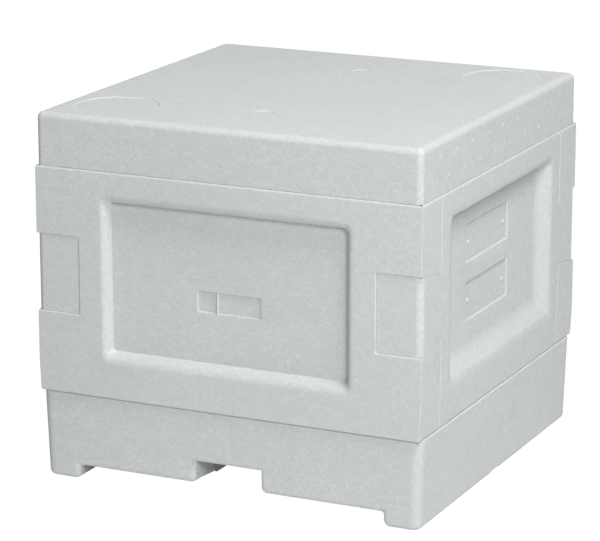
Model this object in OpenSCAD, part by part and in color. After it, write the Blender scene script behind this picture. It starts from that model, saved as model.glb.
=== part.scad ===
// Square foam nuc box: a floor with an entrance tunnel, a hive body of four dovetailed walls that
// holds six hanging frames, and a flat lid. X runs along the front, Y from front to back and Z up
// from the ground, with the origin under the middle of the floor.

/* [Box] */
// Outer side of the square hive body and lid
side = 300; // [285:1:330]
// Thickness of the foam walls
wall = 34; // [31:1:38]
// Height of the floor, from the ground to the hive body
floor_h = 66; // [60:1:90]
// Height of the hive body's walls
body_h = 167; // [155:1:230]
// Height of the lid
lid_h = 39; // [30:1:60]

/* [Stacking lips] */
// Width of the lip that locates the part above
lip_w = 10; // [7:0.5:12]
// Height of the lip
lip_h = 5; // [3:0.5:8]
// Clearance round the lip in its groove
lip_gap = 0.5; // [0.3:0.1:1]

/* [Corner dovetails] */
// Height of a tail's lower edge above the bottom of the wall
tail_low = 60; // [45:1:70]
// Height of a tail at its tip
tail_h = 57.5; // [45:0.5:75]
// How far each edge of a tail flares towards its tip
tail_flare = 5; // [2:0.5:8]
// Radius of a tail's outer upright edge
tail_corner_r = 5; // [3:0.5:10]
// Radius of the upright edges above and below a tail
pin_corner_r = 0.5; // [0.5:0.5:5]

/* [Wall panels] */
// Distance of the sunken panel from the ends of its wall
panel_margin = 51.5; // [48:0.5:65]
// Distance of the sunken panel from the bottom of its wall
panel_low = 26; // [22:0.5:40]
// Distance of the sunken panel from the top of its wall
panel_top = 16.5; // [16:0.5:30]
// Depth of the sunken panel
panel_depth = 8; // [5:0.5:10]
// Width of the sloping border along a panel's top, and at the ends of the front and rear panels
panel_slope = 6.5; // [4:0.5:10]
// Width of the sloping border along a panel's lower edge
panel_low_slope = 8.5; // [4:0.5:12]
// Width of the sloping border at the ends of the side panels
side_panel_slope = 14; // [6:0.5:20]
// Width of the blank plate on the front and rear panels
front_plate_w = 49.5; // [30:0.5:80]
// Height of the blank plate on the front and rear panels
front_plate_h = 15.3; // [10:0.1:25]
// Height of that plate's lower edge above the bottom of the wall
front_plate_low = 71; // [55:0.5:90]
// Distance of the plate's dividing rib from its left end
front_plate_rib_at = 15; // [8:0.5:20]
// Width of the blank plates on the side panels
side_plate_w = 81; // [50:0.5:110]
// Height of the blank plates on the side panels
side_plate_h = 28.3; // [15:0.1:32]
// Height of the lower plate's lower edge above the bottom of the wall
side_plate_low = 60.3; // [50:0.1:66]
// Distance from one side plate up to the next
side_plate_pitch = 43; // [36:0.5:46]
// Shift of the side plates along their wall
side_plate_shift = 11; // [0:0.5:18]
// Depth of the blank plates
plate_depth = 1.5; // [0.5:0.1:2.5]

/* [Lid] */
// How far the lid stands back from the hive body
lid_inset = 1; // [0.5:0.5:3]
// Radius of the lid's upright corners
lid_corner_r = 4.5; // [3:0.5:12]
// Radius of the large round mould marks on top
large_mark_r = 31; // [20:0.5:40]
// Distance of a large mark's middle from the two nearest edges
large_mark_inset = 42.5; // [42:0.5:60]
// Radius of the small round mould marks on top
small_mark_r = 7.5; // [4:0.5:12]
// Distance of a small mark's middle from the front or rear edge
small_mark_inset = 64; // [40:0.5:90]
// Depth of the mould marks
mark_depth = 0.6; // [0.3:0.1:1.5]
// Radius of the moulded pips on the lid's sides
pip_r = 2; // [1:0.1:3]
// How far the pips stand out
pip_h = 0.5; // [0.3:0.1:1]
// Distance between the pips of one row
pip_pitch = 28.8; // [20:0.1:40]
// Height of the lower row of pips above the lid's edge
pip_low = 11.2; // [8:0.1:13]
// Height of the upper row of pips above the lower one
pip_rise = 15.2; // [6:0.1:16]

/* [Floor] */
// How far the floor stands back from the hive body at its sides
floor_inset = 0.75; // [0.5:0.25:4]
// How far the floor stands back from the hive body at its front and rear
floor_setback = 2; // [0.5:0.25:4]
// How far the floor's outer faces lean in from top to ground
floor_draft = 1.75; // [0.5:0.25:4]
// Radius of the floor's upright corners at the ground
floor_corner_r = 6.5; // [4:0.5:12]
// Height of the front and rear skirts above the ground
skirt_lift = 10.5; // [6:0.5:14]
// Width of the two runners that the floor stands on
runner_w = 27; // [18:0.5:29]
// Length of the small notch in the middle of each runner
runner_notch_l = 18; // [12:0.5:50]
// Height of the small notch in each runner
runner_notch_h = 2.5; // [1.5:0.5:5]
// Height of the underside of the floor plate, which is also the top of the entrance
plate_low = 27; // [24:0.5:30]
// Thickness of the floor plate
plate_t = 20; // [17:0.5:24]
// Width of the entrance in the front skirt
entrance_w = 52; // [50:0.5:75]
// Width of the flight channel behind the entrance
channel_w = 47; // [35:0.5:50]
// Thickness of the channel's ribs
rib_t = 12; // [8:0.5:15]
// Length of the way up through the floor plate
way_l = 25; // [15:0.5:30]
// Distance of the way up from the front wall's inner face
way_setback = 66; // [64:0.5:72]

/* [Floor vent] */
// Side of the square vent opening
vent_l = 90; // [70:1:96]
// Distance of the vent's middle behind the middle of the floor
vent_y = 45; // [42:1:48]
// Width of the grille's rim, which lies on the floor plate
grille_rim = 12; // [10:0.5:14]
// Thickness of the grille
grille_t = 1; // [0.6:0.1:1.5]
// Width of the grille's slots
slot_w = 3.2; // [2.5:0.1:3.6]
// Length of the grille's slots
slot_l = 26; // [15:0.5:28]
// Width of the bars between slots
slot_bar = 3.2; // [2:0.1:6]
// Radius of the grille screws' shanks
screw_r = 1.7; // [1.2:0.1:2.2]
// Radius of the grille screws' heads
screw_head_r = 3.3; // [2.6:0.1:4.2]
// Height of the grille screws' heads
screw_head_h = 1.8; // [1.2:0.1:2.5]
// Length of the grille screws under the head
screw_l = 14; // [8:0.5:15]

/* [Entrance slider] */
// Thickness of the slider
slider_t = 2.5; // [1.5:0.1:4]
// How far the slider runs into the grooves of the channel
slider_track = 2; // [1:0.1:4]
// Clearance round the slider in its grooves
slider_gap = 0.4; // [0.3:0.05:0.6]
// Length of the slider
slider_l = 52; // [40:0.5:58]
// How far the slider overlaps each end of the way up when it is shut
slider_lap = 2; // [1:0.5:3]
// Width of the slider's pull tab
tab_w = 20; // [10:0.5:30]
// Height of the slider's pull tab
tab_h = 7; // [4:0.5:9]

/* [Frame rests] */
// Depth of the rebate that the frame ears hang in
rest_w = 10; // [8:0.5:11]
// Thickness of the rest rails' sheet
rail_t = 1; // [0.6:0.1:1.5]
// Height of the rest rails' upright leg
rail_leg = 10; // [5:0.5:14]
// Radius of the rail nails' shanks
rail_nail_r = 0.8; // [0.5:0.1:1.2]
// Radius of the rail nails' heads
rail_nail_head_r = 1.8; // [1.4:0.1:2.4]
// Length of the rail nails
rail_nail_l = 16; // [8:0.5:25]

/* [Frames] */
// Bee space between a frame and the front and rear walls
bee_end = 7.5; // [6:0.5:9]
// Bee space between the top bars and the lid
bee_top = 6; // [4:0.5:9]
// Height of the frames above the bottom of the hive body
bee_bottom = 2; // [1:0.5:6]
// Free space between the outer frames and the side walls
frame_slack = 11; // [8:0.5:14]
// Clearance between the shoulders of neighbouring frames
frame_gap = 0.4; // [0.3:0.1:1]
// Clearance between a frame's ears and the back of the rebate
ear_gap = 3; // [2:0.5:4]
// Width of the top bars
top_bar_w = 25; // [20:0.5:27]
// Thickness of the top bars
top_bar_t = 10; // [8:0.5:14]
// Thickness of the side bars
side_bar_t = 8; // [6:0.5:10]
// Height of the side bars' wide shoulders
shoulder_h = 55; // [30:1:80]
// Width of the bottom bars
bottom_bar_w = 22; // [16:0.5:24]
// Thickness of the bottom bars
bottom_bar_t = 10; // [6:0.5:12]
// Thickness of the wax foundation sheets
foundation_t = 2.4; // [1.6:0.1:3.2]
// Depth of the groove that holds the foundation in the top bar
foundation_groove = 4; // [2:0.5:5]
// Clearance round the edges of the foundation
foundation_gap = 0.3; // [0.2:0.1:0.6]
// Radius of the frame nails' shanks
nail_r = 0.7; // [0.4:0.1:1]
// Radius of the frame nails' heads
nail_head_r = 1.5; // [1.2:0.1:2]
// Length of the frame nails
nail_l = 25; // [18:0.5:30]
// Distance between the two nails of a joint
nail_pitch = 12; // [8:0.5:14]

/* [Hidden] */
$fn = 48;
overrun = 1;
nail_gap = 0.05;
nail_head_h = 0.6;
frame_count = 6;
rail_nail_steps = [-2, 0, 2];
mark_corners = [[-1, -1], [1, 1]];
plate_dot_r = 1.5;
plate_dot_h = 0.8;
front_plate_rib_t = 1;
cross_w = 0.9;
cross_depth = 1;

foam = [0.79, 0.80, 0.80];
wood = [0.80, 0.64, 0.42];
wax = [0.88, 0.68, 0.25];
steel = [0.66, 0.67, 0.69];
plastic = [0.62, 0.64, 0.65];

half = side / 2;
inner_half = half - wall;
chamber = 2 * inner_half;
body_z = floor_h;
lid_z = floor_h + body_h;
lip_inner = chamber + 2 * rest_w;
lip_outer = lip_inner + 2 * lip_w;

panel_w = side - 2 * panel_margin;
panel_h = body_h - panel_low - panel_top;
panel_face = panel_depth - half;
tail_lean = tail_flare / wall;
tail_high = tail_low + tail_h;
overrun_share = overrun / panel_depth;

lid_side = side - 2 * lid_inset;
lid_half = lid_side / 2;

floor_w = side - 2 * floor_inset - 2 * floor_draft;
floor_l = side - 2 * floor_setback - 2 * floor_draft;
plate_top = plate_low + plate_t;
way_front = way_setback - inner_half;
way_rear = way_front + way_l;
grille_w = vent_l + 2 * grille_rim;
screw_at = grille_w / 2 - grille_rim / 2;
slot_rows = floor((vent_l + slot_bar) / (slot_w + slot_bar));
slot_columns = floor((vent_l + slot_bar) / (slot_l + slot_bar));

rest_z = body_h - bee_top - top_bar_t;
frame_l = chamber - 2 * bee_end;
frame_h = body_h - bee_top - bee_bottom;
frame_pitch = (chamber - 2 * frame_slack) / frame_count;
shoulder_w = frame_pitch - frame_gap;
ear_reach = inner_half + rest_w - ear_gap;
side_bar_h = frame_h - top_bar_t;
side_bar_y = frame_l / 2 - side_bar_t / 2;
foundation_l = frame_l - 2 * side_bar_t - 2 * foundation_gap;
foundation_h = side_bar_h - bottom_bar_t + foundation_groove - foundation_gap;

pip_count = floor((lid_side - 2 * lid_corner_r - 2 * pip_r) / pip_pitch) + 1;

FRAME_PIECES = ["top_bar", "side_bars", "bottom_bar", "foundation", "nails"];

function frame_node(k, piece) = str("frame_", k, "_", piece);
function frame_x(k) = (k - (frame_count + 1) / 2) * frame_pitch;

// A square with round corners, centred on the origin
module rounded_square(width, corner) {
    reach = width / 2 - corner;
    square([width, 2 * reach], center = true);
    square([2 * reach, width], center = true);
    for (x = [-reach, reach], y = [-reach, reach])
        translate([x, y])
            circle(corner);
}

module rounded_block(width, height, corner) {
    linear_extrude(height)
        rounded_square(width, corner);
}

// A block with round corners whose four sides lean out from z = 0 upwards
module flared_block(width, depth, height, corner, flare) {
    reach_x = width / 2 - corner;
    reach_y = depth / 2 - corner;
    rotate([90, 0, 0])
        linear_extrude(2 * reach_y, center = true)
            flared_outline(width, height, flare);
    rotate([90, 0, 90])
        linear_extrude(2 * reach_x, center = true)
            flared_outline(depth, height, flare);
    for (x = [-reach_x, reach_x], y = [-reach_y, reach_y])
        translate([x, y, 0])
            cylinder(r1 = corner, r2 = corner + flare, h = height);
}

module flared_outline(width, height, flare) {
    foot = width / 2;
    polygon([[-foot, 0], [foot, 0], [foot + flare, height], [-foot - flare, height]]);
}

// A block that stands on z = 0 around the Z axis
module block(width, depth, height) {
    translate([-width / 2, -depth / 2, 0])
        cube([width, depth, height]);
}

module square_ring(inner, outer, height) {
    linear_extrude(height)
        difference() {
            square(outer, center = true);
            square(inner, center = true);
        }
}

// What rounding takes off an upright corner at the origin of a block towards +X and +Y
module corner_shaving(radius, height) {
    translate([0, 0, -overrun])
        linear_extrude(height + 2 * overrun)
            difference() {
                translate([-overrun, -overrun])
                    square(radius + overrun);
                translate([radius, radius])
                    circle(radius);
            }
}

// An outline drawn in Y and Z, extruded along X from the middle to both sides
module across_x(length) {
    translate([-length / 2, 0, 0])
        rotate([90, 0, 90])
            linear_extrude(length)
                children();
}

// Lip on top of a wall and groove in its underside, both running round the box
module lip_ring() {
    square_ring(lip_inner, lip_outer, lip_h);
}

module groove_ring() {
    translate([0, 0, -overrun])
        square_ring(lip_inner - 2 * lip_gap, lip_outer + 2 * lip_gap, lip_h + lip_gap + overrun);
}

// Side view of a dovetail at the front: widest at its tip, carried past both ends by the given reach
module tail_outline(tip_reach, root_reach) {
    tip = -half - tip_reach;
    root = -inner_half + root_reach;
    rise = tail_lean * (root - tip);
    tip_low = tail_low - tail_lean * tip_reach;
    tip_high = tail_high + tail_lean * tip_reach;
    polygon([[tip, tip_low], [root, tip_low + rise], [root, tip_high - rise], [tip, tip_high]]);
}

// The sunken panel of a wall, whose border slopes in by end_slope at its two ends
module panel_cut(end_slope) {
    outside = -half - overrun;
    wide = panel_w / 2;
    mouth = wide + overrun_share * end_slope;
    floor_wide = wide - end_slope;
    panel_high = panel_low + panel_h;
    intersection() {
        linear_extrude(body_h)
            polygon([
                [-mouth, outside], [mouth, outside],
                [floor_wide, panel_face], [-floor_wide, panel_face]
            ]);
        across_x(side)
            polygon([
                [outside, panel_low - overrun_share * panel_low_slope], [panel_face, panel_low + panel_low_slope],
                [panel_face, panel_high - panel_slope], [outside, panel_high + overrun_share * panel_slope]
            ]);
    }
}

// A blank sunken plate in the floor of a panel, with its lower left corner at x, z
module plate_cut(x, z, width, height) {
    translate([x, panel_face - overrun, z])
        cube([width, plate_depth + overrun, height]);
}

// Front wall around the Z axis, standing on z = 0: half pins at its ends, a rebate for the frame ears
module pin_wall() {
    plate_x = -front_plate_w / 2;
    color(foam)
        difference() {
            union() {
                translate([-half, -half, 0])
                    cube([side, wall, body_h]);
                intersection() {
                    translate([0, 0, body_h])
                        lip_ring();
                    translate([-half, -half, 0])
                        cube([side, wall, body_h + lip_h]);
                }
            }
            for (end = [-1, 1])
                translate([end * (half - wall / 2 + overrun / 2), 0, 0])
                    across_x(wall + overrun)
                        tail_outline(overrun, overrun);
            groove_ring();
            panel_cut(panel_slope);
            plate_cut(plate_x, front_plate_low, front_plate_rib_at, front_plate_h);
            plate_cut(
                plate_x + front_plate_rib_at + front_plate_rib_t, front_plate_low,
                front_plate_w - front_plate_rib_at - front_plate_rib_t, front_plate_h
            );
            translate([-inner_half, -inner_half - rest_w, rest_z - rail_t])
                cube([chamber, rest_w + overrun, body_h]);
            rail_nails(nail_gap);
            translate([-half, -half, 0])
                corner_shaving(pin_corner_r, body_h + lip_h);
            translate([half, -half, 0])
                mirror([1, 0, 0])
                    corner_shaving(pin_corner_r, body_h + lip_h);
        }
}

// Right wall around the Z axis, standing on z = 0: a tail at each end, two blank plates in its panel
module tail_wall() {
    plate_x = -side_plate_w / 2 - side_plate_shift;
    color(foam)
        difference() {
            union() {
                translate([inner_half, -inner_half, 0])
                    cube([wall, chamber, body_h]);
                intersection() {
                    translate([0, 0, body_h])
                        lip_ring();
                    translate([inner_half, -inner_half, 0])
                        cube([wall, chamber, body_h + lip_h]);
                }
                for (end = [0, 1])
                    mirror([0, end, 0])
                        translate([half - wall / 2, 0, 0])
                            across_x(wall)
                                tail_outline(0, overrun);
            }
            groove_ring();
            rotate([0, 0, 90]) {
                panel_cut(side_panel_slope);
                for (level = [0, 1])
                    difference() {
                        plate_cut(
                            plate_x, side_plate_low + level * side_plate_pitch, side_plate_w, side_plate_h
                        );
                        plate_dots(plate_x, side_plate_low + level * side_plate_pitch);
                    }
            }
            for (end = [0, 1])
                mirror([0, end, 0])
                    translate([half, -half, 0])
                        mirror([1, 0, 0])
                            corner_shaving(tail_corner_r, body_h);
        }
}

// Two round studs that stand in a blank side plate
module plate_dots(x, z) {
    inset = side_plate_h / 4;
    for (across = [inset, side_plate_w - inset])
        translate([x + across, panel_face + plate_depth + overrun, z + side_plate_h / 2])
            rotate([90, 0, 0])
                cylinder(r = plate_dot_r, h = plate_dot_h + overrun);
}

module front_wall() {
    translate([0, 0, body_z])
        pin_wall();
}

module rear_wall() {
    translate([0, 0, body_z])
        rotate([0, 0, 180])
            pin_wall();
}

module right_wall() {
    translate([0, 0, body_z])
        tail_wall();
}

module left_wall() {
    translate([0, 0, body_z])
        rotate([0, 0, 180])
            tail_wall();
}

// Nails through the front rest rail, in the front wall's own frame, grown by a clearance
module rail_nails(gap) {
    for (step = rail_nail_steps)
        translate([step * frame_pitch, -inner_half - rest_w / 2, rest_z]) {
            translate([0, 0, -rail_nail_l - gap])
                cylinder(r = rail_nail_r + gap, h = rail_nail_l + gap);
            cylinder(r = rail_nail_head_r, h = nail_head_h);
        }
}

// Angle strip in the front rebate that the frame ears rest on
module rest_rail() {
    color(steel)
        difference() {
            translate([-inner_half, 0, rest_z - rail_t])
                union() {
                    translate([0, -inner_half - rest_w, 0])
                        cube([chamber, rest_w, rail_t]);
                    translate([0, -inner_half - rest_w, 0])
                        cube([chamber, rail_t, rail_leg]);
                }
            rail_nails(nail_gap);
        }
}

module front_rest_rail() {
    translate([0, 0, body_z])
        rest_rail();
}

module rear_rest_rail() {
    translate([0, 0, body_z])
        rotate([0, 0, 180])
            rest_rail();
}

module rest_rail_nails() {
    color(steel)
        translate([0, 0, body_z])
            for (turn = [0, 180])
                rotate([0, 0, turn])
                    rail_nails(0);
}

// Pips in two staggered rows on the right side of the lid
module lid_pips() {
    for (row = [0, 1])
        for (i = [0 : pip_count - 1 - row])
            translate([lid_half, (i - (pip_count - 1 - row) / 2) * pip_pitch, pip_low + row * pip_rise])
                rotate([0, 90, 0])
                    translate([0, 0, -overrun])
                        cylinder(r = pip_r, h = pip_h + overrun);
}

module lid() {
    large_at = lid_half - large_mark_inset;
    small_at = lid_half - small_mark_inset;
    color(foam)
        translate([0, 0, lid_z])
            difference() {
                union() {
                    rounded_block(lid_side, lid_h, lid_corner_r);
                    lid_pips();
                    rotate([0, 0, 180])
                        lid_pips();
                }
                groove_ring();
                translate([0, 0, lid_h - mark_depth]) {
                    for (corner = mark_corners)
                        translate(corner * large_at)
                            cylinder(r = large_mark_r, h = mark_depth + overrun);
                    for (y = [-small_at, small_at])
                        translate([0, y, 0])
                            cylinder(r = small_mark_r, h = mark_depth + overrun);
                }
            }
}

// Ribs under the floor plate that lead the bees from the entrance to the way up
module channel_ribs() {
    rib_rear = way_rear + slider_lap;
    translate([0, 0, skirt_lift])
        difference() {
            translate([-channel_w / 2 - rib_t, -inner_half - overrun, 0])
                cube([channel_w + 2 * rib_t, inner_half + overrun + rib_rear + rib_t, plate_low]);
            translate([-channel_w / 2, -half, -overrun])
                cube([channel_w, half + rib_rear, plate_low + overrun]);
        }
}

module slider_grooves() {
    groove_w = channel_w + 2 * slider_track;
    groove_h = slider_t + 2 * slider_gap;
    translate([-groove_w / 2, -inner_half - overrun, plate_low - groove_h])
        cube([groove_w, inner_half + overrun + way_rear + slider_lap, groove_h]);
}

module floor_tray() {
    runner_gap = floor_w - 2 * runner_w;
    color(foam)
        difference() {
            union() {
                flared_block(floor_w, floor_l, floor_h, floor_corner_r, floor_draft);
                translate([0, 0, floor_h])
                    lip_ring();
            }
            translate([0, 0, -overrun])
                block(runner_gap, side, skirt_lift + overrun);
            translate([0, 0, -overrun])
                block(side, runner_notch_l, runner_notch_h + overrun);
            translate([0, 0, plate_top])
                block(chamber, chamber, floor_h);
            difference() {
                translate([0, 0, -overrun])
                    block(chamber, chamber, plate_low + overrun);
                channel_ribs();
            }
            slider_grooves();
            translate([-entrance_w / 2, -half, -overrun])
                cube([entrance_w, wall, plate_low + overrun]);
            translate([-channel_w / 2, way_front, 0])
                cube([channel_w, way_l, floor_h]);
            translate([0, vent_y, 0])
                block(vent_l, vent_l, floor_h);
            translate([0, vent_y, plate_top - grille_t])
                block(grille_w, grille_w, floor_h);
            screw_shanks(nail_gap);
        }
}

// Slotted sheet let into the floor plate over the vent
module vent_grille() {
    column_pitch = slot_l + slot_bar;
    row_pitch = slot_w + slot_bar;
    color(steel)
        translate([0, vent_y, plate_top - grille_t])
            linear_extrude(grille_t)
                difference() {
                    square(grille_w, center = true);
                    for (column = [0 : slot_columns - 1], row = [0 : slot_rows - 1])
                        translate([
                            (column - (slot_columns - 1) / 2) * column_pitch,
                            (row - (slot_rows - 1) / 2) * row_pitch
                        ])
                            square([slot_l, slot_w], center = true);
                    for (x = [-screw_at, screw_at], y = [-screw_at, screw_at])
                        translate([x, y])
                            circle(screw_r + nail_gap);
                }
}

module screw_shanks(gap) {
    for (x = [-screw_at, screw_at], y = [-screw_at, screw_at])
        translate([x, vent_y + y, plate_top - screw_l - gap])
            cylinder(r = screw_r + gap, h = screw_l + gap);
}

// Round-headed screws with a cross recess that hold the grille
module vent_screws() {
    color(steel)
        difference() {
            union() {
                screw_shanks(0);
                for (x = [-screw_at, screw_at], y = [-screw_at, screw_at])
                    translate([x, vent_y + y, plate_top])
                        cylinder(r = screw_head_r, h = screw_head_h);
            }
            for (x = [-screw_at, screw_at], y = [-screw_at, screw_at])
                translate([x, vent_y + y, plate_top + screw_head_h - cross_depth]) {
                    block(screw_head_r, cross_w, cross_depth + overrun);
                    block(cross_w, screw_head_r, cross_depth + overrun);
                }
        }
}

// Plate in the flight channel, shown open: it slides back to shut the way up
module entrance_slider() {
    slider_w = channel_w + 2 * slider_track - 2 * slider_gap;
    rear = way_front - slider_lap;
    color(plastic)
        translate([0, rear - slider_l, plate_low - slider_gap - slider_t]) {
            translate([-slider_w / 2, 0, 0])
                cube([slider_w, slider_l, slider_t]);
            translate([-tab_w / 2, 0, -tab_h])
                cube([tab_w, slider_t, tab_h + slider_t]);
        }
}

// Places its children at frame k, with z = 0 at the bottom of the frame
module at_frame(k) {
    translate([frame_x(k), 0, body_z + bee_bottom])
        children();
}

// Nails of one frame: two down through each ear joint, two through each side bar into the bottom bar
module frame_nails(gap) {
    for (turn = [0, 180], x = [-nail_pitch / 2, nail_pitch / 2])
        rotate([0, 0, turn]) {
            translate([x, side_bar_y, frame_h])
                nail(gap);
            translate([x, frame_l / 2, bottom_bar_t / 2])
                rotate([-90, 0, 0])
                    nail(gap);
        }
}

// One nail that points down from its head's seat at z = 0
module nail(gap) {
    translate([0, 0, -nail_l - gap])
        cylinder(r = nail_r + gap, h = nail_l + gap + nail_head_h / 2);
    cylinder(r = nail_head_r, h = nail_head_h);
}

module top_bar(k) {
    color(wood)
        at_frame(k)
            difference() {
                translate([0, 0, side_bar_h])
                    block(top_bar_w, 2 * ear_reach, top_bar_t);
                translate([0, 0, side_bar_h - overrun])
                    block(
                        foundation_t + 2 * foundation_gap, foundation_l + 2 * foundation_gap,
                        foundation_groove + overrun
                    );
                frame_nails(nail_gap);
            }
}

// The two upright bars, wide at the shoulders that space the frames and narrow below
module side_bars(k) {
    wide = shoulder_w / 2;
    narrow = bottom_bar_w / 2;
    neck = side_bar_h - shoulder_h;
    color(wood)
        at_frame(k)
            difference() {
                for (turn = [0, 180])
                    rotate([0, 0, turn])
                        translate([0, frame_l / 2, 0])
                            rotate([90, 0, 0])
                                linear_extrude(side_bar_t)
                                    polygon([
                                        [-narrow, 0], [narrow, 0], [narrow, neck - (wide - narrow)],
                                        [wide, neck], [wide, side_bar_h], [-wide, side_bar_h],
                                        [-wide, neck], [-narrow, neck - (wide - narrow)]
                                    ]);
                frame_nails(nail_gap);
            }
}

module bottom_bar(k) {
    color(wood)
        at_frame(k)
            difference() {
                block(bottom_bar_w, frame_l - 2 * side_bar_t, bottom_bar_t);
                frame_nails(nail_gap);
            }
}

module foundation(k) {
    color(wax)
        at_frame(k)
            translate([0, 0, bottom_bar_t])
                block(foundation_t, foundation_l, foundation_h);
}

module nails(k) {
    color(steel)
        at_frame(k)
            frame_nails(0);
}

lid();
front_wall();
rear_wall();
left_wall();
right_wall();
front_rest_rail();
rear_rest_rail();
rest_rail_nails();
floor_tray();
vent_grille();
vent_screws();
entrance_slider();
for (k = [1:frame_count]) {
    top_bar(k);
    side_bars(k);
    bottom_bar(k);
    foundation(k);
    nails(k);
}
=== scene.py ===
"""Looks of the foam nuc box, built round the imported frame.

X runs along the front, Y to the rear and Z up, in metres.
"""

import math

import bmesh
import bpy
from mathutils import Matrix, Vector
from mathutils.geometry import tessellate_polygon


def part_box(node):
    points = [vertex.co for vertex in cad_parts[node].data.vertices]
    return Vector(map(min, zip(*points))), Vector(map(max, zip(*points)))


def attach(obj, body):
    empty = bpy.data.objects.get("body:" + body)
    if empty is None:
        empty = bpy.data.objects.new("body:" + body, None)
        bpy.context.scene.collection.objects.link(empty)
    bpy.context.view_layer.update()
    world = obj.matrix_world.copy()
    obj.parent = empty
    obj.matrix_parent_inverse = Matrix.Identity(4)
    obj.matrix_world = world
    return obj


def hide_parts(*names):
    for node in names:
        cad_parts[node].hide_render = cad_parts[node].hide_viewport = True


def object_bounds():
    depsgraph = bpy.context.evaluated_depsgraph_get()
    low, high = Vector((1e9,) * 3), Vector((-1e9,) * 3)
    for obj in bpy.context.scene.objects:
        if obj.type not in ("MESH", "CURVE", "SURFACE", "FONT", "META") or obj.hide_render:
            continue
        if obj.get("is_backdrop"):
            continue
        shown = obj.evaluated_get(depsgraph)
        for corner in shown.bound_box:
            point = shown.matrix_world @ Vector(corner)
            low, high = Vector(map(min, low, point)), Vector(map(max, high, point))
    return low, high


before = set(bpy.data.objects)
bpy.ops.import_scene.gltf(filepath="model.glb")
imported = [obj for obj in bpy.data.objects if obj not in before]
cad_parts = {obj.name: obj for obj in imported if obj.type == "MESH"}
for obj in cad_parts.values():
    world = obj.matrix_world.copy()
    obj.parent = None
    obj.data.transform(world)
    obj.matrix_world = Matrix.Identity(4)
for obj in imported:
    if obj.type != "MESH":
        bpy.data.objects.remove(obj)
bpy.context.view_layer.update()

MM = 0.001

# Sizes of the box that the frame gives
lid_low, lid_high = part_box("lid")
wall_low, wall_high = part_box("front_wall")
_, tray_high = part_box("floor_tray")
HALF = wall_high.x
WALL = wall_high.y - wall_low.y
INNER = HALF - WALL
BODY_Z = wall_low.z
LID_Z = lid_low.z
TOP_Z = lid_high.z
BODY_H = LID_Z - BODY_Z


# Camera, fitted to the edges of the box in the photo: angles in degrees, focal length in pixels

IMAGE_W = 600
SENSOR = 36.0
FOCAL_PX = 2919.75
AZIMUTH, ELEVATION, ROLL = 25.242, 14.851, -0.057
AIM = Vector((0, 0, 190 * MM))
DISTANCE = 2161.13 * MM
PAN_RIGHT, PAN_UP = -10.585 * MM, -52.286 * MM


def make_camera():
    """The camera looks at AIM from an azimuth right of the front and an elevation, and is then shifted."""
    a, e, r = (math.radians(v) for v in (AZIMUTH, ELEVATION, ROLL))
    back = Vector((math.sin(a) * math.cos(e), -math.cos(a) * math.cos(e), math.sin(e)))
    level = Vector((math.cos(a), math.sin(a), 0))
    rise = back.cross(level)
    right = math.cos(r) * level + math.sin(r) * rise
    up = math.cos(r) * rise - math.sin(r) * level
    data = bpy.data.cameras.new("Camera")
    data.sensor_width = SENSOR
    data.lens = FOCAL_PX / IMAGE_W * SENSOR
    camera = bpy.data.objects.new("Camera", data)
    camera.matrix_world = Matrix.Translation(
        AIM + DISTANCE * back + PAN_RIGHT * right + PAN_UP * up
    ) @ Matrix((right, up, back)).transposed().to_4x4()
    bpy.context.scene.collection.objects.link(camera)
    bpy.context.scene.camera = camera


make_camera()


# Node helpers for the procedural materials

class Nodes:
    """A material's node tree, with short calls for the nodes that repeat."""

    def __init__(self, name):
        self.material = bpy.data.materials.new(name)
        self.material.use_nodes = True
        self.tree = self.material.node_tree
        self.shader = self.tree.nodes["Principled BSDF"]
        self.place = self.add("ShaderNodeTexCoord").outputs["Object"]

    def add(self, kind, inputs=None, **settings):
        node = self.tree.nodes.new(kind)
        for key, value in settings.items():
            setattr(node, key, value)
        for key, value in (inputs or {}).items():
            self.put(node.inputs[key], value)
        return node

    def put(self, socket, value):
        if isinstance(value, bpy.types.NodeSocket):
            self.tree.links.new(value, socket)
        else:
            socket.default_value = value

    def stretched(self, scale):
        return self.add("ShaderNodeMapping", {"Vector": self.place, "Scale": scale}).outputs[0]

    def noise(self, scale, detail=3.0, rough=0.5, place=None, distortion=0.0):
        node = self.add(
            "ShaderNodeTexNoise",
            {"Vector": place or self.place, "Scale": scale, "Detail": detail, "Roughness": rough,
             "Distortion": distortion},
        )
        return node.outputs["Fac"]

    def voronoi(self, scale, feature="F1", output="Distance", place=None):
        inputs = {"Vector": place or self.place, "Scale": scale}
        return self.add("ShaderNodeTexVoronoi", inputs, feature=feature).outputs[output]

    def math(self, operation, a, b):
        node = self.add("ShaderNodeMath", operation=operation)
        self.put(node.inputs[0], a)
        self.put(node.inputs[1], b)
        return node.outputs[0]

    def ramp(self, value, low, high, to_low=0.0, to_high=1.0):
        node = self.add(
            "ShaderNodeMapRange",
            {"Value": value, "From Min": low, "From Max": high, "To Min": to_low, "To Max": to_high},
        )
        return node.outputs[0]

    def mix(self, factor, a, b):
        node = self.add("ShaderNodeMix", data_type="RGBA")
        self.put(node.inputs["Factor"], factor)
        self.put(node.inputs["A"], a)
        self.put(node.inputs["B"], b)
        return node.outputs["Result"]

    def bump(self, height, distance, strength, under=None):
        node = self.add("ShaderNodeBump", {"Height": height, "Distance": distance, "Strength": strength})
        if under is not None:
            self.put(node.inputs["Normal"], under)
        return node.outputs[0]

    def finish(self, colour, roughness, normal, **constants):
        self.put(self.shader.inputs["Base Color"], colour)
        self.put(self.shader.inputs["Roughness"], roughness)
        self.put(self.shader.inputs["Normal"], normal)
        for key, value in constants.items():
            self.shader.inputs[key.replace("_", " ")].default_value = value
        return self.material


def rgb(r, g, b):
    return (r, g, b, 1.0)


# Materials

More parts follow.
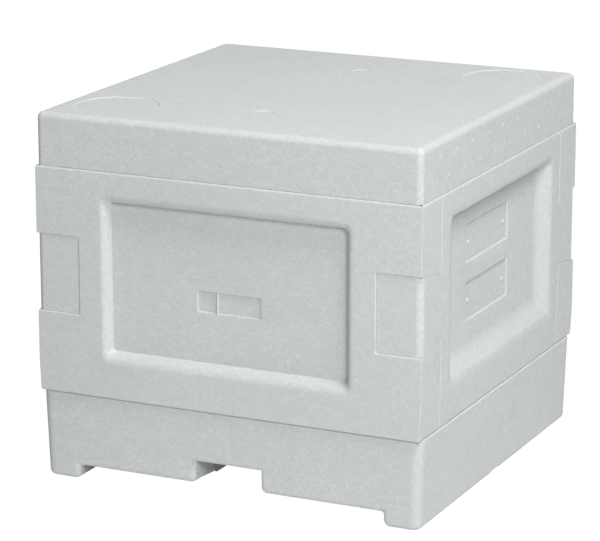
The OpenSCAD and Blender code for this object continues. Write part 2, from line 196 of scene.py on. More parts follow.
FOAM = rgb(0.585, 0.605, 0.612)
FOAM_PALE = rgb(0.72, 0.735, 0.74)
FOAM_SHADE = rgb(0.45, 0.465, 0.47)
FOAM_DUSTY = rgb(0.47, 0.475, 0.46)
FOAM_STAIN = rgb(0.42, 0.395, 0.34)
BEADS_PER_M = 290.0
GRAINS_PER_M = 1100.0
WOBBLES_PER_M = 130.0
CLOUDS_PER_M = 9.0
STAINS_PER_M = 23.0
SPECKS_PER_M = 55.0
WOBBLE = 0.004
BEAD_H, GRAIN_H = 0.24 * MM, 0.12 * MM


def foam_material():
    """Expanded foam: fused beads a few millimetres wide under a thin skin, a little soiled."""
    n = Nodes("foam")
    waves = {"Vector": n.place, "Scale": WOBBLES_PER_M, "Detail": 1.0}
    wobble = n.add("ShaderNodeTexNoise", waves).outputs["Color"]
    place = n.add("ShaderNodeMix", {0: WOBBLE, 4: n.place, 5: wobble}, data_type="VECTOR").outputs[1]
    cell = n.voronoi(BEADS_PER_M, output="Color", place=place)
    seam = n.voronoi(BEADS_PER_M, feature="DISTANCE_TO_EDGE", place=place)
    grain = n.noise(GRAINS_PER_M, 2.0, 0.6)
    shade = n.add("ShaderNodeSeparateColor", {0: cell}).outputs[0]
    colour = n.mix(n.ramp(shade, 0.0, 1.0, 0.0, 0.36), FOAM, FOAM_PALE)
    # Painted shade: darker along the seams between the beads, standing in for the shade in the creases there
    colour = n.mix(n.ramp(seam, 0.0, 0.11, 0.30, 0.0), colour, FOAM_SHADE)
    colour = n.mix(n.ramp(grain, 0.35, 0.65, 0.0, 0.48), colour, FOAM_SHADE)
    cloud = n.ramp(n.noise(CLOUDS_PER_M, 4.0, 0.6), 0.45, 0.75, 0.0, 0.20)
    colour = n.mix(cloud, colour, FOAM_DUSTY)
    stain = n.ramp(n.noise(STAINS_PER_M, 5.0, 0.65), 0.62, 0.80, 0.0, 0.30)
    colour = n.mix(stain, colour, FOAM_STAIN)
    speck = n.ramp(n.voronoi(SPECKS_PER_M), 0.0, 0.10, 0.75, 0.0)
    sparse = n.ramp(n.noise(17.0, 2.0), 0.53, 0.62)
    colour = n.mix(n.math("MULTIPLY", speck, sparse), colour, FOAM_PALE)
    dome = n.voronoi(BEADS_PER_M, feature="SMOOTH_F1", place=place)
    skin = n.bump(grain, GRAIN_H, 0.6)
    relief = n.bump(n.math("SUBTRACT", 1.0, dome), BEAD_H, 0.7, skin)
    rough = n.ramp(n.noise(60.0, 3.0), 0.3, 0.7, 0.66, 0.80)
    return n.finish(colour, rough, relief, Specular_IOR_Level=0.25)


def wood_material(name, axis):
    """Planed softwood with its grain along one axis."""
    n = Nodes(name)
    scale = [1.0, 1.0, 1.0]
    scale["XYZ".index(axis)] = 0.05
    place = n.stretched(scale)
    rings = n.noise(120.0, 5.0, 0.6, place, 0.6)
    fibre = n.noise(900.0, 3.0, 0.6, place)
    colour = n.mix(n.ramp(rings, 0.35, 0.68), rgb(0.66, 0.47, 0.26), rgb(0.50, 0.31, 0.14))
    colour = n.mix(n.ramp(fibre, 0.4, 0.8, 0.0, 0.35), colour, rgb(0.40, 0.24, 0.11))
    relief = n.bump(fibre, 0.15 * MM, 0.5)
    return n.finish(colour, n.ramp(rings, 0.3, 0.7, 0.5, 0.68), relief, Specular_IOR_Level=0.3)


def wax_material():
    """Pressed beeswax, warm and slightly see-through."""
    n = Nodes("wax")
    cloud = n.noise(35.0, 4.0, 0.6)
    colour = n.mix(cloud, rgb(0.80, 0.50, 0.10), rgb(0.66, 0.36, 0.05))
    relief = n.bump(n.noise(600.0, 2.0), 0.1 * MM, 0.4)
    return n.finish(colour, n.ramp(cloud, 0.3, 0.7, 0.32, 0.46), relief, Subsurface_Weight=0.1)


def steel_material(name, spangle):
    """Zinc-coated or plain steel."""
    n = Nodes(name)
    flake = n.add("ShaderNodeSeparateColor", {0: n.voronoi(spangle, output="Color")}).outputs[0]
    cloud = n.noise(spangle * 3, 3.0)
    colour = n.mix(flake, rgb(0.56, 0.57, 0.59), rgb(0.72, 0.73, 0.75))
    rough = n.math("ADD", n.ramp(flake, 0.0, 1.0, 0.28, 0.40), n.ramp(cloud, 0.3, 0.7, 0.0, 0.08))
    return n.finish(colour, rough, n.bump(cloud, 0.05 * MM, 0.4), Metallic=1.0)


def plastic_material():
    """Grained grey plastic."""
    n = Nodes("plastic")
    grain = n.noise(1500.0, 2.0)
    cloud = n.noise(40.0, 3.0)
    colour = n.mix(cloud, rgb(0.34, 0.36, 0.37), rgb(0.40, 0.42, 0.43))
    return n.finish(colour, n.ramp(cloud, 0.3, 0.7, 0.42, 0.55), n.bump(grain, 0.08 * MM, 0.5))


foam = foam_material()
wood_y = wood_material("wood_along_y", "Y")
wood_z = wood_material("wood_along_z", "Z")
wax = wax_material()
zinc = steel_material("zinc_steel", 160.0)
nail_steel = steel_material("nail_steel", 700.0)
plastic = plastic_material()


# Mesh helpers

SHARP = math.radians(35)
FLAT = math.radians(1)
WELD = 0.02 * MM
ON_PLANE = WELD / 10
CORNER_STEPS, CIRCLE_STEPS, DOME_STEPS = 8, 64, 12


def add_piece(name, mesh, material, body, slot, *nodes):
    """Adds a piece that rides on a body and stands in for CAD nodes."""
    piece = bpy.data.objects.new(name, mesh)
    bpy.context.scene.collection.objects.link(piece)
    mesh.materials.clear()
    mesh.materials.append(material)
    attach(piece, body)
    if nodes:
        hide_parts(*nodes)
    return piece


def smooth(mesh):
    mesh.polygons.foreach_set("use_smooth", [True] * len(mesh.polygons))
    mesh.set_sharp_from_angle(angle=SHARP)


def near(a, b, reach=0.3 * MM):
    return abs(a - b) < reach


def clean_copy(node, cuts):
    """A CAD node's mesh with whole faces, cut along planes so that no rounded edge meets a hole's face."""
    bm = bmesh.new()
    bm.from_mesh(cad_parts[node].data)
    bmesh.ops.remove_doubles(bm, verts=bm.verts, dist=WELD)
    bmesh.ops.dissolve_limit(bm, angle_limit=FLAT, verts=bm.verts, edges=bm.edges)
    for axis, value in cuts:
        normal = Vector((0, 0, 0))
        normal[axis] = 1
        whole = bm.verts[:] + bm.edges[:] + bm.faces[:]
        cut = bmesh.ops.bisect_plane(bm, geom=whole, dist=ON_PLANE, plane_co=normal * value, plane_no=normal)
        for part in cut["geom_cut"]:
            if isinstance(part, bmesh.types.BMEdge):
                part.seam = True
    bmesh.ops.dissolve_limit(bm, angle_limit=FLAT, verts=bm.verts, edges=bm.edges, delimit={"SEAM"})
    return bm


def round_edges(bm, name, rounding, segments=3):
    """A mesh from bm with rounded edges. rounding(p, q) gives the width at the edge p-q, or 0."""
    weights = bm.edges.layers.float.new("bevel_weight_edge")
    widths = {}
    for edge in bm.edges:
        if len(edge.link_faces) == 2 and edge.calc_face_angle() > SHARP:
            widths[edge] = rounding(edge.verts[0].co, edge.verts[1].co)
    widest = max(widths.values())
    for edge, width in widths.items():
        edge[weights] = width / widest
    mesh = bpy.data.meshes.new(name)
    bm.to_mesh(mesh)
    bm.free()
    holder = bpy.data.objects.new(name + "_raw", mesh)
    bpy.context.scene.collection.objects.link(holder)
    bevel = holder.modifiers.new("Rounding", "BEVEL")
    bevel.limit_method = "WEIGHT"
    bevel.width = widest
    bevel.segments = segments
    bevel.use_clamp_overlap = False
    depsgraph = bpy.context.evaluated_depsgraph_get()
    made = bpy.data.meshes.new_from_object(holder.evaluated_get(depsgraph))
    made.name = name
    bpy.data.objects.remove(holder)
    bpy.data.meshes.remove(mesh)
    return made


def flatten_faces(piece):
    """Flat faces stay flat and only their rounded edges catch the light."""
    normals = piece.modifiers.new("Flat faces", "WEIGHTED_NORMAL")
    normals.keep_sharp = True


def add_foam(name, mesh, body, *nodes):
    smooth(mesh)
    flatten_faces(add_piece(name, mesh, foam, body, "foam", *nodes))


def round_rectangle(left, low, right, high, corner):
    """Points of a rectangle with round corners, anticlockwise from the middle of its right side."""
    points = []
    corners = ((right - corner, high - corner), (left + corner, high - corner))
    corners += ((left + corner, low + corner), (right - corner, low + corner))
    for quarter, (u, v) in enumerate(corners):
        for step in range(CORNER_STEPS + 1):
            angle = math.pi / 2 * (quarter + step / CORNER_STEPS)
            points.append((u + corner * math.cos(angle), v + corner * math.sin(angle)))
    return points


def turns_of(count):
    return [2 * math.pi * i / count for i in range(count)]


def circle(u, v, radius):
    turns = turns_of(CIRCLE_STEPS)
    return [(u + radius * math.cos(t), v + radius * math.sin(t)) for t in turns]


def bridge(bm, first, second):
    """Faces between two loops of as many points, which turn anticlockwise round the side that they face."""
    for i, _ in enumerate(first):
        j = (i + 1) % len(first)
        bm.faces.new((first[i], first[j], second[j], second[i]))


def loop_of(edges):
    """The points of edges that form one closed loop, in order."""
    left = set(edges)
    edge = edges[0]
    points = [edge.verts[0]]
    while edge:
        left.remove(edge)
        points.append(edge.other_vert(points[-1]))
        edge = next((other for other in points[-1].link_edges if other in left), None)
    return points[:-1]


def fill_flat(bm, outline, holes, out):
    """Fills a flat outline round its holes with faces that look along out."""
    loops = [outline] + holes
    verts = [v for loop in loops for v in loop]
    for tri in tessellate_polygon([[v.co for v in loop] for loop in loops]):
        corners = [verts[i] for i in tri]
        normal = (corners[1].co - corners[0].co).cross(corners[2].co - corners[0].co)
        bm.faces.new(corners if normal.dot(out) > 0 else corners[::-1])


def dome(bm, centre, out, radius, height, rings=3):
    """A low dome that stands on a flat face, whose outward direction is out."""
    side = out.cross(Vector((0, 0, 1))) if abs(out.z) < 0.5 else Vector((1, 0, 0))
    up = side.cross(out)
    spokes = [math.cos(t) * side + math.sin(t) * up for t in turns_of(DOME_STEPS)]
    loops = []
    for ring in range(rings):
        angle = math.pi / 2 * ring / rings
        reach, lift = radius * math.cos(angle), height * math.sin(angle) * out
        loops.append([bm.verts.new(centre + reach * spoke + lift) for spoke in spokes])
    for lower, upper in zip(loops, loops[1:]):
        bridge(bm, lower, upper)
    peak = bm.verts.new(centre + height * out)
    last = loops[-1]
    for i in range(DOME_STEPS):
        bm.faces.new((last[i], last[(i + 1) % DOME_STEPS], peak))


# Walls: a wall is worked on turned back, with its outer side towards -Y and its bottom at z = 0

# Widths of the roundings
LIT_JOINT = 1.0 * MM
FINE_JOINT = 0.35 * MM
WALL_END = 2.4 * MM
WALL_TOP = 1.5 * MM
WALL_BOTTOM = 1.3 * MM

# Set-back of the tails' ends, how far the sides lean in at the floor, and thickness of the outer skin
TAIL_BACK = 0.8 * MM
SIDE_LEAN = 1.0 * MM
SKIN = 4 * MM

# Height of the joint under a tail, and the reaches by which edges are told apart
TAIL_LOW, TAIL_REACH = 60 * MM, 5 * MM
UPRIGHT_LEAST = 5 * MM
OUTER_REACH = 6 * MM
OUT = Vector((0, -1, 0))

# The panel: half width and heights of its mouth, and how far its borders slope in at the ends, low and high
MOUTH_WIDE, MOUTH_LOW, MOUTH_HIGH = 98.5 * MM, 26 * MM, 150.5 * MM
MOUTH_CORNER, FLOOR_CORNER = 5.5 * MM, 3 * MM
SIDE_MOUTH_LOW, SIDE_MOUTH_HIGH = 28.5 * MM, 148.7 * MM
FRONT_SLOPES = (6.5 * MM, 8.5 * MM, 6.5 * MM)
SIDE_SLOPES = (18.5 * MM, 17 * MM, 4.5 * MM)
PANEL_DEPTH = 8 * MM
SLOPE_END = math.radians(70)
SLOPE_STRAIGHT = 0.5
SLOPE_STEPS = 8
RIM = 3 * MM

# Blank plates as left, low, right, high, and the studs in them
PLATE_DEPTH = 1.5 * MM
PLATE_EDGE = 0.6 * MM
PLATE_CORNER = 0.8 * MM
FRONT_PLATES = ((-24.75, 71, -9.75, 86.3), (-8.75, 71, 24.75, 86.3))
SIDE_PLATES = ((-51.5, 60.3, 29.5, 88.6), (-51.5, 103.3, 29.5, 131.6))
STUD_R, STUD_H, STUD_INSET = 1.8 * MM, 1.2 * MM, 7.075 * MM


def wall_rounding(tails):
    """Roundings of the edges of a wall with tails at its ends, or with pins."""
    def rounding(a, b):
        middle = (a + b) / 2
        deep = middle.y + HALF
        across = abs(middle.x)
        level = near(a.z, b.z)
        upright = abs(a.z - b.z) > UPRIGHT_LEAST
        outer = deep < OUTER_REACH or across > HALF - OUTER_REACH
        if level and outer and near(middle.z, BODY_H):
            return WALL_TOP
        if level and outer and near(middle.z, 0):
            return WALL_BOTTOM
        if tails and upright and near(across, INNER, MM) and deep < MM:
            return WALL_END
        if not tails and upright and deep < MM and across < INNER + MM:
            return LIT_JOINT
        under_tail = near(middle.z, TAIL_LOW, TAIL_REACH)
        if not tails and under_tail and deep < WALL - MM and across > INNER - MM:
            return LIT_JOINT
        return FINE_JOINT

    return rounding


def bold_border(share):
    """How far in and how deep a border is that rolls over its mouth and ends steep, as shares."""
    angle = SLOPE_END * share
    return math.sin(angle) / math.sin(SLOPE_END), (1 - math.cos(angle)) / (1 - math.cos(SLOPE_END))


def coved_border(share):
    """How far in and how deep a border is that starts straight and runs out into the floor, as shares."""
    bend = max(share - SLOPE_STRAIGHT, 0)
    steep = 2 / (1 + SLOPE_STRAIGHT)
    return share, steep * (share - bend * bend / (2 - 2 * SLOPE_STRAIGHT))


def add_panel(bm, mouth_low, mouth_high, plates, slopes, border, studs):
    """Fills the hole in a wall's face with its sunken panel."""
    def face_loop(points, deep):
        return [bm.verts.new((u, deep - HALF, v)) for u, v in points]

    rim = loop_of([edge for edge in bm.edges if edge.is_boundary])
    end_slope, low_slope, high_slope = slopes
    loops = []
    for step in range(SLOPE_STEPS + 1):
        inward, deep = border(step / SLOPE_STEPS)
        wide = MOUTH_WIDE - inward * end_slope
        corner = MOUTH_CORNER + (FLOOR_CORNER - MOUTH_CORNER) * deep
        points = round_rectangle(
            -wide, mouth_low + inward * low_slope, wide, mouth_high - inward * high_slope, corner
        )
        loops.append(face_loop(points, deep * PANEL_DEPTH))
    fill_flat(bm, rim, loops[:1], OUT)
    for outer, inner in zip(loops, loops[1:]):
        bridge(bm, outer, inner)
    edges = []
    for plate in plates:
        left, low, right, high = (value * MM for value in plate)
        sunk = []
        for grow, deep in ((PLATE_EDGE, 0), (0, PLATE_EDGE), (-PLATE_EDGE, PLATE_DEPTH)):
            points = round_rectangle(left - grow, low - grow, right + grow, high + grow, PLATE_CORNER + grow)
            sunk.append(face_loop(points, PANEL_DEPTH + deep))
        for outer, inner in zip(sunk, sunk[1:]):
            bridge(bm, outer, inner)
        fill_flat(bm, sunk[-1], [], OUT)
        edges.append(sunk[0])
        if studs:
            for across in (left + STUD_INSET, right - STUD_INSET):
                base = Vector((across, PANEL_DEPTH + PLATE_DEPTH - HALF, (low + high) / 2))
                dome(bm, base, OUT, STUD_R, STUD_H)
    fill_flat(bm, loops[-1], edges, OUT)


def wall_mesh(node, turn, plates, slopes, border, tails):
    """A wall with softened joints, and its panel as a loft."""
    wide, low, high = MOUTH_WIDE + RIM, MOUTH_LOW - RIM, MOUTH_HIGH + RIM
    place = Matrix.Translation((0, 0, BODY_Z)) @ Matrix.Rotation(turn, 4, "Z")
    along = 0 if abs(math.cos(turn)) > 0.5 else 1
    cuts = [(along, -wide), (along, wide), (2, BODY_Z + low), (2, BODY_Z + high)]
    bm = clean_copy(node, cuts)
    bmesh.ops.transform(bm, matrix=place.inverted(), verts=bm.verts)
    gone = []
    for face in bm.faces:
        middle = face.calc_center_median()
        if middle.y < WALL / 2 - HALF and abs(middle.x) < wide and low < middle.z < high:
            gone.append(face)
    bmesh.ops.delete(bm, geom=gone, context="FACES")
    mesh = round_edges(bm, "foam_" + node, wall_rounding(tails))
    bm = bmesh.new()
    bm.from_mesh(mesh)
    for vert in bm.verts:
        lean = SIDE_LEAN * max(1 - vert.co.z / low, 0)
        if tails and abs(vert.co.x) > INNER + WALL / 2:
            vert.co.x -= math.copysign(TAIL_BACK, vert.co.x)
        if tails and vert.co.y < SKIN - HALF:
            vert.co.y += lean
        if not tails and abs(vert.co.x) > HALF - SKIN:
            vert.co.x -= math.copysign(lean, vert.co.x)
    mouth = (SIDE_MOUTH_LOW, SIDE_MOUTH_HIGH) if tails else (MOUTH_LOW, MOUTH_HIGH)
    add_panel(bm, *mouth, plates, slopes, border, tails)
    bmesh.ops.transform(bm, matrix=place, verts=bm.verts)
    bm.to_mesh(mesh)
    bm.free()
    return mesh


for node, degrees in (("front_wall", 0), ("rear_wall", 180)):
    wall = wall_mesh(node, math.radians(degrees), FRONT_PLATES, FRONT_SLOPES, bold_border, False)
    add_foam("foam_" + node, wall, "hive_body", node)
for node, degrees in (("right_wall", 90), ("left_wall", -90)):
    wall = wall_mesh(node, math.radians(degrees), SIDE_PLATES, SIDE_SLOPES, coved_border, True)
    add_foam("foam_" + node, wall, "hive_body", node)


# Floor

# Widths of the roundings
SKIRT_TOP = 1.2 * MM
SKIRT_EDGE = 3.5 * MM
FOOT_EDGE = 4.5 * MM
SOFT_STEPS = 4

# Places in the CAD piece, and the distance from the middle beyond which the side rims are drawn out
SKIRT_LIFT = 10.5 * MM
RUNNER_INNER = 120.5 * MM
ENTRANCE_HALF = 26 * MM
NOTCH_HALF, NOTCH_H = 9 * MM, 2.5 * MM
TRAY_CORNER = 6.5 * MM
TRAY_DRAFT = 1.75 * MM
SKIRT_MIDDLE = 135 * MM


def soften(bm, width, chosen):
    """Rounds the sharp edges that chosen(p, q) picks, all by one width."""
    edges = []
    for edge in bm.edges:
        if len(edge.link_faces) == 2 and edge.calc_face_angle() > SHARP:
            if chosen(edge.verts[0].co, edge.verts[1].co):
                edges.append(edge)
    bmesh.ops.bevel(
        bm, geom=edges, offset=width, segments=SOFT_STEPS, profile=0.5, affect="EDGES", clamp_overlap=False
    )


def on_outline(p):
    """Whether a point lies on the floor's outer sides, which lean out towards the top."""
    reach = TRAY_CORNER + TRAY_DRAFT
    beyond = Vector((max(abs(p.x) - tray_high.x + reach, 0), max(abs(p.y) - tray_high.y + reach, 0)))
    return near(beyond.length, TRAY_CORNER + TRAY_DRAFT * p.z / BODY_Z)


def lower_outline(p, q):
    return on_outline(p) and on_outline(q) and max(p.z, q.z) < BODY_Z / 2


def upper_outline(p, q):
    return on_outline(p) and on_outline(q) and near(min(p.z, q.z), BODY_Z)


def foot_corners(p, q):
    """The lengthwise edges of the runners and of the entrance that the front shows as round corners."""
    if not near(p.x, q.x) or not near(p.z, q.z):
        return False
    if near(abs(p.x), RUNNER_INNER):
        return near(p.z, 0)
    return near(abs(p.x), ENTRANCE_HALF) and near(p.z, SKIRT_LIFT)


def without_notches(bm):
    """Fills the notches under the runners, so that the edges beside them can be rounded."""
    runner_outer = tray_high.x - TRAY_DRAFT
    for vert in bm.verts:
        if near(vert.co.z, NOTCH_H) and abs(vert.co.x) > RUNNER_INNER - MM:
            vert.co.z = 0
            vert.co.x = max(-runner_outer, min(runner_outer, vert.co.x))
    bmesh.ops.remove_doubles(bm, verts=bm.verts, dist=WELD)
    bmesh.ops.dissolve_degenerate(bm, dist=WELD, edges=bm.edges)
    bmesh.ops.dissolve_limit(bm, angle_limit=FLAT, verts=bm.verts, edges=bm.edges)


def cut_box(mesh, low, high):
    """Cuts a box out of a mesh."""
    bm = bmesh.new()
    place = Matrix.Translation((low + high) / 2) @ Matrix.Diagonal((*(high - low), 1))
    bmesh.ops.create_cube(bm, size=1, matrix=place)
    box = bpy.data.meshes.new("box")
    bm.to_mesh(box)
    bm.free()
    holder, cutter = bpy.data.objects.new("cut", mesh), bpy.data.objects.new("cutter", box)
    bpy.context.scene.collection.objects.link(holder)
    bpy.context.scene.collection.objects.link(cutter)
    cut = holder.modifiers.new("Cut", "BOOLEAN")
    cut.operation = "DIFFERENCE"
    cut.solver = "EXACT"
    cut.object = cutter
    made = bpy.data.meshes.new_from_object(holder.evaluated_get(bpy.context.evaluated_depsgraph_get()))
    bpy.data.objects.remove(holder)
    bpy.data.objects.remove(cutter)
    bpy.data.meshes.remove(box)
    bpy.data.meshes.remove(mesh)
    return made


def floor_mesh():
    """The floor with softened edges, and side rims that stand out as far as the walls."""
    bm = clean_copy("floor_tray", ())
    without_notches(bm)
    soften(bm, FOOT_EDGE, foot_corners)
    soften(bm, SKIRT_EDGE, lower_outline)
    soften(bm, SKIRT_TOP, upper_outline)
    for vert in bm.verts:
        if abs(vert.co.x) > SKIRT_MIDDLE:
            vert.co.x *= 1 + (HALF / tray_high.x - 1) * vert.co.z / BODY_Z
    mesh = bpy.data.meshes.new("foam_floor")
    bm.to_mesh(mesh)
    bm.free()
    for side in (-1, 1):
        ends = sorted((side * (RUNNER_INNER - MM), side * HALF))
        low, high = Vector((ends[0], -NOTCH_HALF, -MM)), Vector((ends[1], NOTCH_HALF, NOTCH_H))
        mesh = cut_box(mesh, low, high)
    mesh.name = "foam_floor"
    return mesh


add_foam("foam_floor", floor_mesh(), "floor", "floor_tray")


# Lid

# Half of its side without the pips, its upright corners, and the roundings of its edges with their steps
LID_HALF = lid_high.y
LID_CORNER = 4.5 * MM
LID_CORNER_LEAST = 0.8 * MM
LID_ROUND, LID_ROUND_STEPS = 4.8 * MM, 6
LID_LOW_ROUND, LID_LOW_STEPS = 0.5 * MM, 2

# Groove for the lip of the walls, as its half sizes, depth and corner, and the round marks as x, y, radius
GROOVE = (125.5 * MM, 136.5 * MM, 5.5 * MM)
GROOVE_CORNER = 0.5 * MM
MARKS = ((-106.5, -106.5, 31), (106.5, 106.5, 31), (0, -85, 7.5), (0, 85, 7.5))
MARK_DEPTH, MARK_SLOPE = 0.6 * MM, 0.8 * MM
PIP_PITCH, PIP_R, PIP_H = 28.8 * MM, 2.3 * MM, 0.35 * MM
PIP_ROWS = ((11.2 * MM, 10), (26.4 * MM, 9))
PIP_RINGS = 5


def quarter_round(half, z, radius, steps, upper):
    """Half sizes and heights along the rounding of an outer edge, from the lower to the upper end."""
    points = []
    for i in range(steps + 1):
        angle = math.pi / 2 * i / steps
        rise = radius * math.sin(angle) - radius
        points.append((half - radius + radius * math.cos(angle), z + rise if upper else z - rise))
    return points if upper else points[::-1]


def lid_mesh():
    """The lid as a loft from its underside to its top, with the marks sunk in and the pips set on."""
    bm = bmesh.new()

    def level_loop(points, z):
        return [bm.verts.new((u, v, z)) for u, v in points]

    inner, outer, deep = GROOVE
    profile = [(inner, 0), (inner, deep), (outer, deep), (outer, 0)]
    profile = [(half, LID_Z + z, GROOVE_CORNER) for half, z in profile]
    for half, z in quarter_round(LID_HALF, LID_Z, LID_LOW_ROUND, LID_LOW_STEPS, False):
        profile.append((half, z, LID_CORNER - LID_HALF + half))
    for half, z in quarter_round(LID_HALF, TOP_Z, LID_ROUND, LID_ROUND_STEPS, True):
        profile.append((half, z, max(LID_CORNER - LID_HALF + half, LID_CORNER_LEAST)))
    loops = [level_loop(round_rectangle(-half, -half, half, half, corner), z) for half, z, corner in profile]
    for lower, upper in zip(loops, loops[1:]):
        bridge(bm, lower, upper)
    bm.faces.new(loops[0][::-1])
    rims = []
    for mark in MARKS:
        x, y, radius = (value * MM for value in mark)
        rim = level_loop(circle(x, y, radius), TOP_Z)
        sunk = level_loop(circle(x, y, radius - MARK_SLOPE), TOP_Z - MARK_DEPTH)
        bridge(bm, rim, sunk)
        bm.faces.new(sunk)
        rims.append(rim)
    fill_flat(bm, loops[-1], rims, Vector((0, 0, 1)))
    for side in (-1, 1):
        for height, count in PIP_ROWS:
            for i in range(count):
                along = (i - (count - 1) / 2) * PIP_PITCH
                base = Vector((side * LID_HALF, along, LID_Z + height))
                dome(bm, base, Vector((side, 0, 0)), PIP_R, PIP_H, PIP_RINGS)
    mesh = bpy.data.meshes.new("foam_lid")
    bm.to_mesh(mesh)
    bm.free()
    return mesh


add_foam("foam_lid", lid_mesh(), "lid", "lid")


# Fittings

SLIDER_EDGE = 0.5 * MM


def repaint(node, material):
    """Gives a CAD node that is shown as it is its material."""
    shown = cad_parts[node]
    shown.data.materials.clear()
    shown.data.materials.append(material)


for node in ("front_rest_rail", "rear_rest_rail", "vent_grille"):
    repaint(node, zinc)
for node in ("rest_rail_nails", "vent_screws"):
    repaint(node, nail_steel)

slider = round_edges(clean_copy("entrance_slider", ()), "slider", lambda p, q: SLIDER_EDGE)
smooth(slider)
flatten_faces(add_piece("slider", slider, plastic, "entrance_slider", "plastic", "entrance_slider"))


# Frames

FRAME_COUNT = 6
BAR_EDGE = 0.6 * MM
HOLE_EDGE = 2 * MM
NAIL_ACROSS, NAIL_ALONG = 6 * MM, 104.5 * MM
NAIL_RISE = 5 * MM
CELL = 5.4 * MM
CELL_DEPTH = 0.7 * MM
BAR_STEPS = 2
CELL_CORNERS = ((0, 2), (1, 1), (1, -1), (0, -2), (-1, -1), (-1, 1))
WAX_RIM = 2.5 * MM


def bar_rounding(x):
    """Roundings of a bar of the frame at x. Nail holes and the groove for the wax stay sharp."""
    def rounding(p, q):
        in_groove = abs((p.x + q.x) / 2 - x) < HOLE_EDGE
        return 0 if in_groove or (p - q).length < HOLE_EDGE else BAR_EDGE

    return rounding


def add_bar(node, x, nail_z, material, body):
    """A bar of the frame at x, cut along its nails so that the holes stay clear of the roundings."""
    cuts = [(0, x - NAIL_ACROSS), (0, x + NAIL_ACROSS), (1, -NAIL_ALONG), (1, NAIL_ALONG), (2, nail_z)]
    mesh = round_edges(clean_copy(node, cuts), "wood_" + node, bar_rounding(x), BAR_STEPS)
    smooth(mesh)
    flatten_faces(add_piece("wood_" + node, mesh, material, body, "wood", node))


def wax_mesh(name, low, high):
    """A wax sheet with the six-sided pits of comb cells pressed into both sides."""
    bm = bmesh.new()
    step_y, step_z = CELL / 2, CELL / math.sqrt(12)
    columns = int((high.y - low.y - 2 * WAX_RIM) / CELL - 0.5)
    rows = int(((high.z - low.z - 2 * WAX_RIM) / step_z - 1) / 3)
    first_y = (low.y + high.y) / 2 - (columns - 0.5) * step_y
    first_z = (low.z + high.z) / 2 - (rows - 1) * 1.5 * step_z
    sheets = []
    for x, out in ((low.x, -1), (high.x, 1)):
        corners = {}
        for row in range(rows):
            for column in range(columns):
                across, rise = 2 * column + row % 2, 3 * row
                ring = []
                for right, up in CELL_CORNERS:
                    key = (across + right, rise + up)
                    if key not in corners:
                        y, z = first_y + key[0] * step_y, first_z + key[1] * step_z
                        corners[key] = bm.verts.new((x, y, z))
                    ring.append(corners[key])
                y, z = first_y + across * step_y, first_z + rise * step_z
                pit = bm.verts.new((x - out * CELL_DEPTH, y, z))
                for i, near_corner in enumerate(ring):
                    pair = (near_corner, ring[i - 1])
                    bm.faces.new((pit,) + (pair if out < 0 else pair[::-1]))
        cells = loop_of([edge for edge in bm.edges if edge.is_boundary and near(edge.verts[0].co.x, x)])
        places = ((low.y, low.z), (high.y, low.z), (high.y, high.z), (low.y, high.z))
        sheet = [bm.verts.new((x, y, z)) for y, z in places]
        fill_flat(bm, sheet, [cells], Vector((out, 0, 0)))
        sheets.append(sheet)
    bridge(bm, sheets[1], sheets[0])
    mesh = bpy.data.meshes.new(name)
    bm.to_mesh(mesh)
    bm.free()
    return mesh


for k in range(1, FRAME_COUNT + 1):
    body = f"frame_{k}"
    low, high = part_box(f"{body}_bottom_bar")
    x, nail_z = (low.x + high.x) / 2, low.z + NAIL_RISE
    add_bar(f"{body}_top_bar", x, nail_z, wood_y, body)
    add_bar(f"{body}_side_bars", x, nail_z, wood_z, body)
    add_bar(f"{body}_bottom_bar", x, nail_z, wood_y, body)
    sheet = wax_mesh("wax_" + body, *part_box(f"{body}_foundation"))
    add_piece("wax_" + body, sheet, wax, body, "wax", f"{body}_foundation")
    repaint(f"{body}_nails", nail_steel)


# Stage and light

GROUND_SIZE = 12
GROUND_DROP = 0.2 * MM
GROUND_GREY = rgb(0.85, 0.85, 0.85)
WHITE = rgb(1, 1, 1)
GLOW, GLOW_SHARE = 1.12, 0.9
WORLD_STRENGTH = 0.03
LAMP_SIZE, LAMP_DISTANCE = 0.8, 2.5


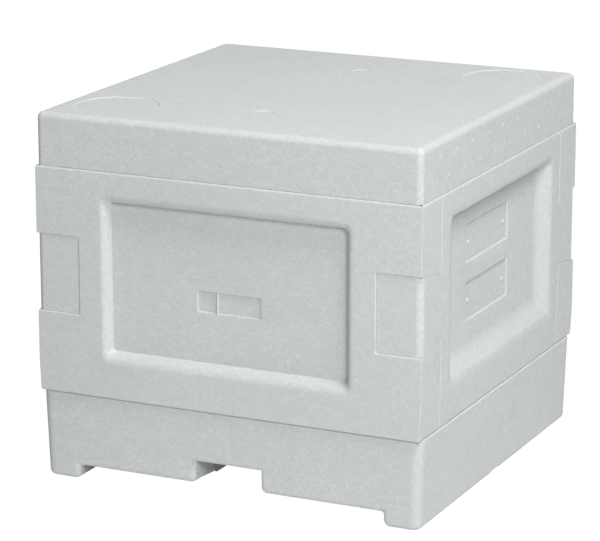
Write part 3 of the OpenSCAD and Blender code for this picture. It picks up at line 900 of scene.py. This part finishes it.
def make_stage():
    """Ground that takes shadows and, seen directly or in a reflection, is nearly white."""
    bpy.ops.mesh.primitive_plane_add(size=GROUND_SIZE, location=(0, 0, -GROUND_DROP))
    ground = bpy.context.object
    ground.name = "ground"
    ground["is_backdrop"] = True
    n = Nodes("ground")
    paper = n.add("ShaderNodeBsdfDiffuse", {"Color": GROUND_GREY})
    white = n.add("ShaderNodeEmission", {"Color": WHITE, "Strength": GLOW})
    rays = n.add("ShaderNodeLightPath")
    seen = n.math("MAXIMUM", rays.outputs["Is Camera Ray"], rays.outputs["Is Glossy Ray"])
    seen = n.math("MAXIMUM", seen, rays.outputs["Is Transmission Ray"])
    share = n.math("MULTIPLY", seen, GLOW_SHARE)
    blend = n.add("ShaderNodeMixShader", {0: share, 1: paper.outputs[0], 2: white.outputs[0]})
    n.tree.links.new(blend.outputs[0], n.tree.nodes["Material Output"].inputs["Surface"])
    ground.data.materials.append(n.material)


def make_world():
    """Faint light from all round, and a white background."""
    world = bpy.data.worlds.new("World")
    bpy.context.scene.world = world
    world.use_nodes = True
    tree = world.node_tree
    light = tree.nodes["Background"]
    light.inputs["Color"].default_value = WHITE
    light.inputs["Strength"].default_value = WORLD_STRENGTH
    white = tree.nodes.new("ShaderNodeBackground")
    white.inputs["Color"].default_value = WHITE
    rays = tree.nodes.new("ShaderNodeLightPath")
    seen = rays.outputs["Is Camera Ray"]
    for other in ("Is Glossy Ray", "Is Transmission Ray"):
        either = tree.nodes.new("ShaderNodeMath")
        either.operation = "MAXIMUM"
        tree.links.new(seen, either.inputs[0])
        tree.links.new(rays.outputs[other], either.inputs[1])
        seen = either.outputs[0]
    blend = tree.nodes.new("ShaderNodeMixShader")
    tree.links.new(seen, blend.inputs[0])
    tree.links.new(light.outputs[0], blend.inputs[1])
    tree.links.new(white.outputs[0], blend.inputs[2])
    tree.links.new(blend.outputs[0], tree.nodes["World Output"].inputs["Surface"])


def make_lamp(name, azimuth, elevation, watts):
    """A soft round lamp that shines on the box, at an azimuth right of the front and an elevation."""
    a, e = math.radians(azimuth), math.radians(elevation)
    out = Vector((math.sin(a) * math.cos(e), -math.cos(a) * math.cos(e), math.sin(e)))
    data = bpy.data.lights.new(name, "AREA")
    data.shape = "DISK"
    data.size = LAMP_SIZE
    data.energy = watts
    lamp = bpy.data.objects.new(name, data)
    lamp.location = Vector((0, 0, TOP_Z / 2)) + LAMP_DISTANCE * out
    lamp.rotation_euler = out.to_track_quat("Z", "Y").to_euler()
    bpy.context.scene.collection.objects.link(lamp)


make_stage()
make_world()
make_lamp("key", azimuth=37, elevation=31, watts=35)
make_lamp("right", azimuth=60, elevation=60, watts=39)
make_lamp("top", azimuth=20, elevation=86, watts=11)

bpy.context.scene.view_settings.view_transform = "Standard"

low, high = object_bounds()
